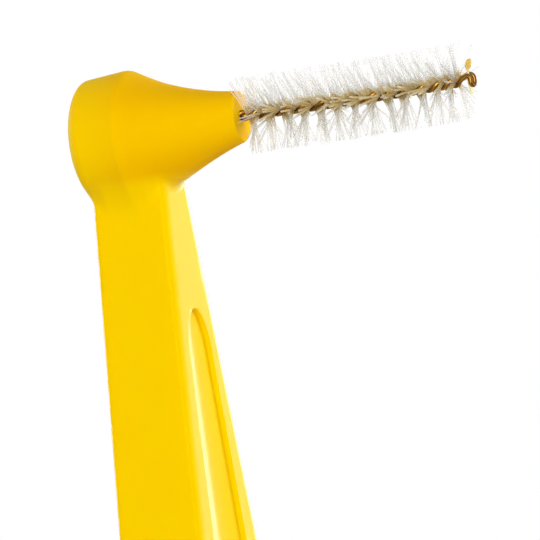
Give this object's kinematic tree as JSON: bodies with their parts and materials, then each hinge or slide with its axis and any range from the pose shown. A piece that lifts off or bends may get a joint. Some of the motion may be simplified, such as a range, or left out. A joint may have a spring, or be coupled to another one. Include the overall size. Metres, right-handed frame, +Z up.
{
  "type": "interdental brush",
  "caption": "Angled interdental brush: a long flat moulded handle with thumb recesses and a flared head that holds a twisted wire with fine filaments square to it.",
  "frame": {"origin": "middle of the handle's section where finger and thumb hold it, 70 mm above the foot", "axes": "+Z up the handle towards the head, +X the way the brush points, Y across the handle's broad faces"},
  "size_m": [0.0213, 0.011, 0.1391],
  "materials": {
    "yellow_polypropylene": "moulded, smooth",
    "stainless_wire": "drawn",
    "bronze_coating": "thin glossy coat with a bronze tint",
    "white_nylon": "drawn filament, translucent",
    "yellow_strip": "thin strip"
  },
  "bodies": {
    "root": {"handle": "yellow_polypropylene", "core_wire": "stainless_wire", "wire_coating": "bronze_coating", "marker_strip": "yellow_strip", "tuft_01": "white_nylon", "tuft_02": "white_nylon", "tuft_03": "white_nylon", "tuft_04": "white_nylon", "tuft_05": "white_nylon", "tuft_06": "white_nylon", "tuft_07": "white_nylon", "tuft_08": "white_nylon", "tuft_09": "white_nylon", "tuft_10": "white_nylon", "tuft_11": "white_nylon", "tuft_12": "white_nylon", "tuft_13": "white_nylon", "tuft_14": "white_nylon"}
  },
  "joints": []
}
